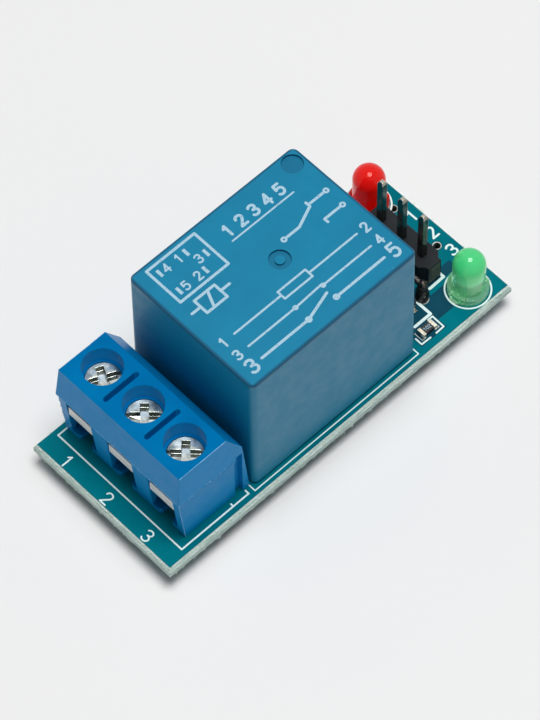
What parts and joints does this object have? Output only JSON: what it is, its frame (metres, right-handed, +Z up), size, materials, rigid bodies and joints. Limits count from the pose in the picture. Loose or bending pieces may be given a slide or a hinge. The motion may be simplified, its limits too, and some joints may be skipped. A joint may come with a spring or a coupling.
{
  "type": "relay module board",
  "caption": "Small circuit board with a sealed relay, a screw terminal with rising clamps, a pin header, two indicator lamps and driver parts.",
  "frame": {"origin": "centre of the board's outline in plan, on the plane of the trimmed pin ends that it stands on", "axes": "+X along the board from the screw terminal to the pin header, +Y across the board, +Z up out of the component side"},
  "size_m": [0.0412, 0.0174, 0.0189],
  "materials": {
    "board_mask": "glossy teal solder mask over glass-fibre board",
    "solder": "bright tin solder",
    "relay_blue": "satin blue moulding",
    "relay_base_blue": "matt blue moulding",
    "bobbin_plastic": "matt off-white moulding",
    "enamelled_copper": "enamelled copper wire",
    "soft_iron": "nickel-plated soft iron",
    "spring_bronze": "phosphor bronze strip",
    "contact_silver": "silver alloy",
    "copper_terminal": "tinned copper strip",
    "terminal_blue": "satin blue moulding",
    "zinc_plate": "bright zinc plate",
    "tin_plate": "bright tin plate",
    "header_black": "matt black moulding",
    "lens_green": "tinted diffuse epoxy",
    "lens_red": "tinted diffuse epoxy",
    "lead_frame": "tinned steel",
    "chip_glaze": "black glaze on ceramic",
    "chip_caps": "tinned end caps",
    "black_epoxy": "matt black epoxy"
  },
  "bodies": {
    "module": {"pcb": "board_mask", "solder_joints": "solder", "relay_cover": "relay_blue", "relay_base": "relay_base_blue", "relay_bobbin": "bobbin_plastic", "relay_coil": "enamelled_copper", "relay_core": "soft_iron", "relay_yoke": "soft_iron", "relay_hinge_spring": "spring_bronze", "relay_nc_terminal": "copper_terminal", "relay_nc_contact": "contact_silver", "relay_no_terminal": "copper_terminal", "relay_no_contact": "contact_silver", "relay_com_pin": "tin_plate", "relay_coil_pins": "tin_plate", "terminal_housing": "terminal_blue", "terminal_contact_1": "tin_plate", "terminal_contact_2": "tin_plate", "terminal_contact_3": "tin_plate", "header_strip": "header_black", "header_pin_1": "tin_plate", "header_pin_2": "tin_plate", "header_pin_3": "tin_plate", "led_green_lens": "lens_green", "led_green_anode": "lead_frame", "led_green_cathode": "lead_frame", "led_red_lens": "lens_red", "led_red_anode": "lead_frame", "led_red_cathode": "lead_frame", "resistor_1": "chip_glaze", "resistor_2": "chip_glaze", "resistor_3": "chip_glaze", "resistor_caps": "chip_caps", "transistor_body": "black_epoxy", "transistor_leads": "tin_plate", "diode_body": "black_epoxy", "diode_leads": "lead_frame"},
    "armature": {"relay_armature": "soft_iron", "relay_contact_spring": "spring_bronze", "relay_moving_contact": "contact_silver"},
    "screw_1": {"terminal_screw_1": "zinc_plate"},
    "cage_1": {"terminal_cage_1": "zinc_plate"},
    "screw_2": {"terminal_screw_2": "zinc_plate"},
    "cage_2": {"terminal_cage_2": "zinc_plate"},
    "screw_3": {"terminal_screw_3": "zinc_plate"},
    "cage_3": {"terminal_cage_3": "zinc_plate"}
  },
  "joints": [
    {"name": "armature_swing", "type": "hinge", "parent": "module", "child": "armature", "pos_m": [0.00709, 0, 0.01496], "axis": [0, -1, 0], "range_deg": [0, 3], "stiffness_Nm_per_rad": 0.005, "springref_deg": -11.46},
    {"name": "screw_turn_1", "type": "hinge", "parent": "module", "child": "screw_1", "pos_m": [-0.01481, 0.00543, 0.0111], "axis": [0, 0, 1], "range_deg": [0, 920]},
    {"name": "cage_lift_1", "type": "slide", "parent": "module", "child": "cage_1", "axis": [0, 0, 1], "range_m": [-0.00115, 0]},
    {"name": "screw_turn_2", "type": "hinge", "parent": "module", "child": "screw_2", "pos_m": [-0.01481, 0.00035, 0.0111], "axis": [0, 0, 1], "range_deg": [0, 920]},
    {"name": "cage_lift_2", "type": "slide", "parent": "module", "child": "cage_2", "axis": [0, 0, 1], "range_m": [-0.00115, 0]},
    {"name": "screw_turn_3", "type": "hinge", "parent": "module", "child": "screw_3", "pos_m": [-0.01481, -0.00473, 0.0111], "axis": [0, 0, 1], "range_deg": [0, 920]},
    {"name": "cage_lift_3", "type": "slide", "parent": "module", "child": "cage_3", "axis": [0, 0, 1], "range_m": [-0.00115, 0]}
  ],
  "couplings": [
    {"joint": "screw_turn_1", "follows": "cage_lift_1", "rad_per_m": -13963},
    {"joint": "screw_turn_2", "follows": "cage_lift_2", "rad_per_m": -13963},
    {"joint": "screw_turn_3", "follows": "cage_lift_3", "rad_per_m": -13963}
  ]
}
